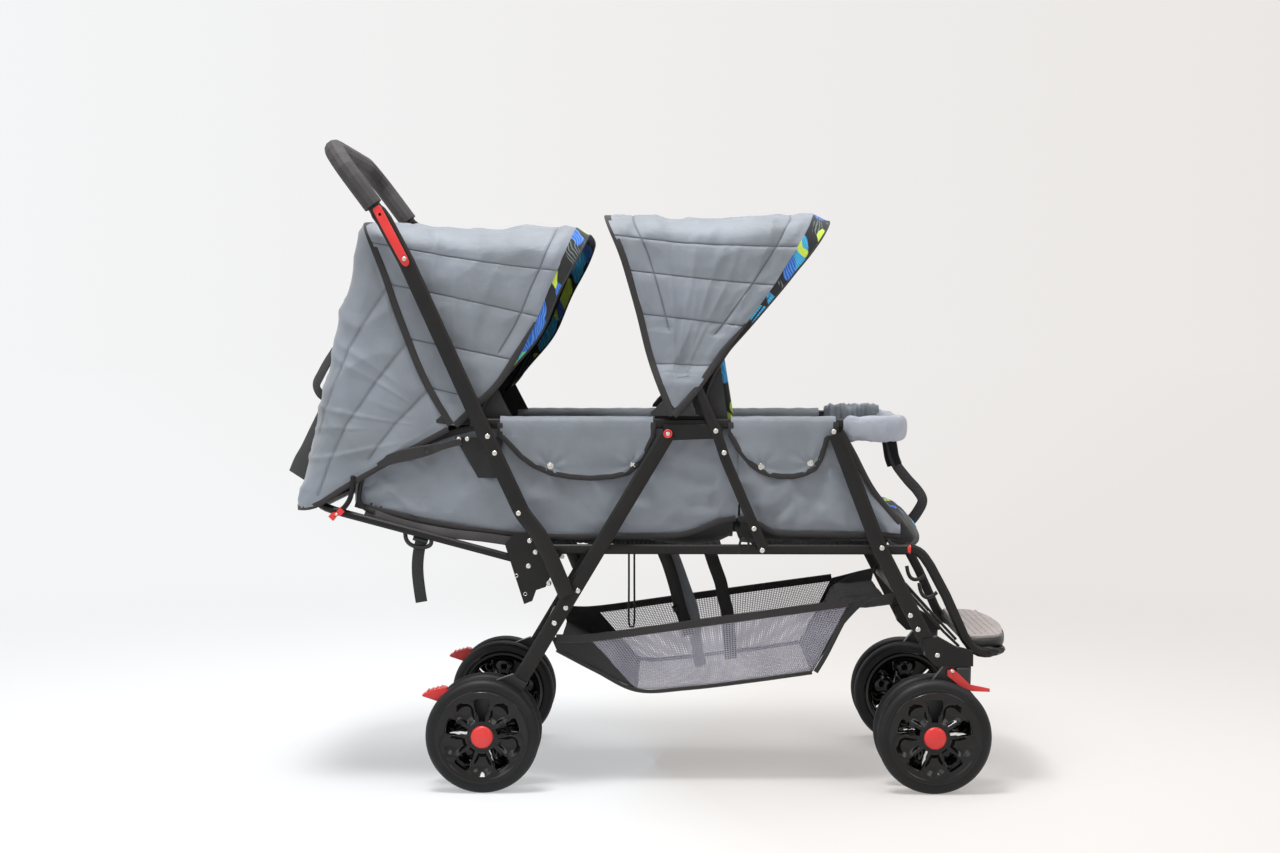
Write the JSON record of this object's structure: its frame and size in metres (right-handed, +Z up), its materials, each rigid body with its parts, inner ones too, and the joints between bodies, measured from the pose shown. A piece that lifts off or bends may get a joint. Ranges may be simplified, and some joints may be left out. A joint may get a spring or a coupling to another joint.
{
  "type": "tandem double stroller",
  "caption": "Folding pushchair frame with a seat in front of a lie-flat seat, each under its own canopy, on paired small wheels with swivelling front casters and a mesh basket.",
  "frame": {"origin": "on the floor, under the middle of the overall box", "axes": "+X forwards, the way the stroller is pushed; +Y to its left; +Z up"},
  "size_m": [1.148, 0.5088, 1.0233],
  "materials": {
    "tyre": "matt black moulded tread",
    "rim": "glossy black",
    "red_plastic": "satin red",
    "black_plastic": "satin black",
    "frame_paint": "satin black-brown powder coat",
    "foam": "matt closed-cell foam",
    "grey_fabric": "slate grey woven polyester",
    "basket_mesh": "violet-grey open mesh",
    "pad_fabric": "charcoal woven polyester",
    "footrest_plastic": "matt grey-brown"
  },
  "bodies": {
    "chassis": {"right_rear_leg": "frame_paint", "right_front_leg": "frame_paint", "right_seat_rail": "frame_paint", "right_armrest_rail": "frame_paint", "right_canopy_post": "frame_paint", "right_fold_plate": "frame_paint", "rear_right_wheel_bracket": "black_plastic", "left_rear_leg": "frame_paint", "left_front_leg": "frame_paint", "left_seat_rail": "frame_paint", "left_armrest_rail": "frame_paint", "left_canopy_post": "frame_paint", "left_fold_plate": "frame_paint", "rear_left_wheel_bracket": "black_plastic", "rear_cross_tube": "frame_paint", "front_cross_tube": "frame_paint", "rear_seat_hoop": "frame_paint", "rear_seat_tub": "grey_fabric", "front_seat_tub": "grey_fabric", "basket": "basket_mesh", "rear_curtain": "grey_fabric", "rear_canopy": "grey_fabric", "front_canopy": "grey_fabric"},
    "handle": {"handle_tube": "frame_paint", "handle_grip": "foam"},
    "right_release": {"right_handle_release": "red_plastic"},
    "left_release": {"left_handle_release": "red_plastic"},
    "rear_right_brake": {"rear_right_brake_pedal": "red_plastic"},
    "front_right_caster": {"front_right_caster_fork": "black_plastic"},
    "front_right_lock": {"front_right_swivel_lock": "red_plastic"},
    "rear_right_outer_wheel": {"rear_right_outer_tyre": "tyre", "rear_right_outer_rim": "rim", "rear_right_hub_cap": "red_plastic"},
    "rear_right_inner_wheel": {"rear_right_inner_tyre": "tyre", "rear_right_inner_rim": "rim"},
    "front_right_outer_wheel": {"front_right_outer_tyre": "tyre", "front_right_outer_rim": "rim", "front_right_hub_cap": "red_plastic"},
    "front_right_inner_wheel": {"front_right_inner_tyre": "tyre", "front_right_inner_rim": "rim"},
    "rear_left_brake": {"rear_left_brake_pedal": "red_plastic"},
    "front_left_caster": {"front_left_caster_fork": "black_plastic"},
    "front_left_lock": {"front_left_swivel_lock": "red_plastic"},
    "rear_left_outer_wheel": {"rear_left_outer_tyre": "tyre", "rear_left_outer_rim": "rim", "rear_left_hub_cap": "red_plastic"},
    "rear_left_inner_wheel": {"rear_left_inner_tyre": "tyre", "rear_left_inner_rim": "rim"},
    "front_left_outer_wheel": {"front_left_outer_tyre": "tyre", "front_left_outer_rim": "rim", "front_left_hub_cap": "red_plastic"},
    "front_left_inner_wheel": {"front_left_inner_tyre": "tyre", "front_left_inner_rim": "rim"},
    "footrest": {"footrest_frame": "frame_paint", "footrest_plate": "footrest_plastic"},
    "bumper": {"bumper_bar": "grey_fabric"},
    "rear_back": {"rear_backrest": "pad_fabric"},
    "front_back": {"front_backrest": "pad_fabric"},
    "rear_hood": {"rear_canopy_bow": "frame_paint"},
    "front_hood": {"front_canopy_bow": "frame_paint"}
  },
  "joints": [
    {"name": "handle_fold", "type": "hinge", "parent": "chassis", "child": "handle", "pos_m": [-0.26, 0, 0.556], "axis": [0, 1, 0], "range_deg": [0, 60]},
    {"name": "right_release_slide", "type": "slide", "parent": "handle", "child": "right_release", "axis": [0.4174, 0, -0.9087], "range_m": [0, 0.012], "stiffness_N_per_m": 60, "springref_m": -0.004},
    {"name": "left_release_slide", "type": "slide", "parent": "handle", "child": "left_release", "axis": [0.4174, 0, -0.9087], "range_m": [0, 0.012], "stiffness_N_per_m": 60, "springref_m": -0.004},
    {"name": "rear_right_brake", "type": "hinge", "parent": "chassis", "child": "rear_right_brake", "pos_m": [-0.282, -0.2045, 0.146], "axis": [0, -1, 0], "range_deg": [0, 16]},
    {"name": "front_right_caster_swivel", "type": "hinge", "parent": "chassis", "child": "front_right_caster", "pos_m": [0.484, -0.2045, 0.18], "axis": [0, 0, 1], "continuous": true},
    {"name": "front_right_swivel_lock", "type": "hinge", "parent": "front_right_caster", "child": "front_right_lock", "pos_m": [0.466, -0.2186, 0.187], "axis": [0, -1, 0], "range_deg": [0, 25]},
    {"name": "rear_right_outer_wheel_spin", "type": "hinge", "parent": "chassis", "child": "rear_right_outer_wheel", "pos_m": [-0.268, -0.235, 0.08899], "axis": [0, 1, 0], "continuous": true},
    {"name": "rear_right_inner_wheel_spin", "type": "hinge", "parent": "chassis", "child": "rear_right_inner_wheel", "pos_m": [-0.268, -0.174, 0.08899], "axis": [0, 1, 0], "continuous": true},
    {"name": "front_right_outer_wheel_spin", "type": "hinge", "parent": "front_right_caster", "child": "front_right_outer_wheel", "pos_m": [0.436, -0.235, 0.08899], "axis": [0, 1, 0], "continuous": true},
    {"name": "front_right_inner_wheel_spin", "type": "hinge", "parent": "front_right_caster", "child": "front_right_inner_wheel", "pos_m": [0.436, -0.174, 0.08899], "axis": [0, 1, 0], "continuous": true},
    {"name": "rear_left_brake", "type": "hinge", "parent": "chassis", "child": "rear_left_brake", "pos_m": [-0.282, 0.2045, 0.146], "axis": [0, -1, 0], "range_deg": [0, 16]},
    {"name": "front_left_caster_swivel", "type": "hinge", "parent": "chassis", "child": "front_left_caster", "pos_m": [0.484, 0.2045, 0.18], "axis": [0, 0, 1], "continuous": true},
    {"name": "front_left_swivel_lock", "type": "hinge", "parent": "front_left_caster", "child": "front_left_lock", "pos_m": [0.466, 0.2186, 0.187], "axis": [0, -1, 0], "range_deg": [0, 25]},
    {"name": "rear_left_outer_wheel_spin", "type": "hinge", "parent": "chassis", "child": "rear_left_outer_wheel", "pos_m": [-0.268, 0.235, 0.08899], "axis": [0, 1, 0], "continuous": true},
    {"name": "rear_left_inner_wheel_spin", "type": "hinge", "parent": "chassis", "child": "rear_left_inner_wheel", "pos_m": [-0.268, 0.174, 0.08899], "axis": [0, 1, 0], "continuous": true},
    {"name": "front_left_outer_wheel_spin", "type": "hinge", "parent": "front_left_caster", "child": "front_left_outer_wheel", "pos_m": [0.436, 0.235, 0.08899], "axis": [0, 1, 0], "continuous": true},
    {"name": "front_left_inner_wheel_spin", "type": "hinge", "parent": "front_left_caster", "child": "front_left_inner_wheel", "pos_m": [0.436, 0.174, 0.08899], "axis": [0, 1, 0], "continuous": true},
    {"name": "footrest_tilt", "type": "hinge", "parent": "chassis", "child": "footrest", "pos_m": [0.396, 0, 0.38], "axis": [0, -1, 0], "range_deg": [0, 35]},
    {"name": "bumper_lift", "type": "hinge", "parent": "chassis", "child": "bumper", "pos_m": [0.292, 0, 0.566], "axis": [0, -1, 0], "range_deg": [0, 70]},
    {"name": "rear_recline", "type": "hinge", "parent": "chassis", "child": "rear_back", "pos_m": [-0.248, 0, 0.4128], "axis": [0, 1, 0], "range_deg": [0, 40]},
    {"name": "front_recline", "type": "hinge", "parent": "chassis", "child": "front_back", "pos_m": [0.1295, 0, 0.3968], "axis": [0, -1, 0], "range_deg": [0, 22]},
    {"name": "rear_hood_fold", "type": "hinge", "parent": "chassis", "child": "rear_hood", "pos_m": [-0.278, 0, 0.5885], "axis": [0, -1, 0], "range_deg": [0, 48], "deforming": ["rear_canopy"]},
    {"name": "front_hood_fold", "type": "hinge", "parent": "chassis", "child": "front_hood", "pos_m": [0.074, 0, 0.5885], "axis": [0, -1, 0], "range_deg": [0, 48], "deforming": ["front_canopy"]}
  ]
}
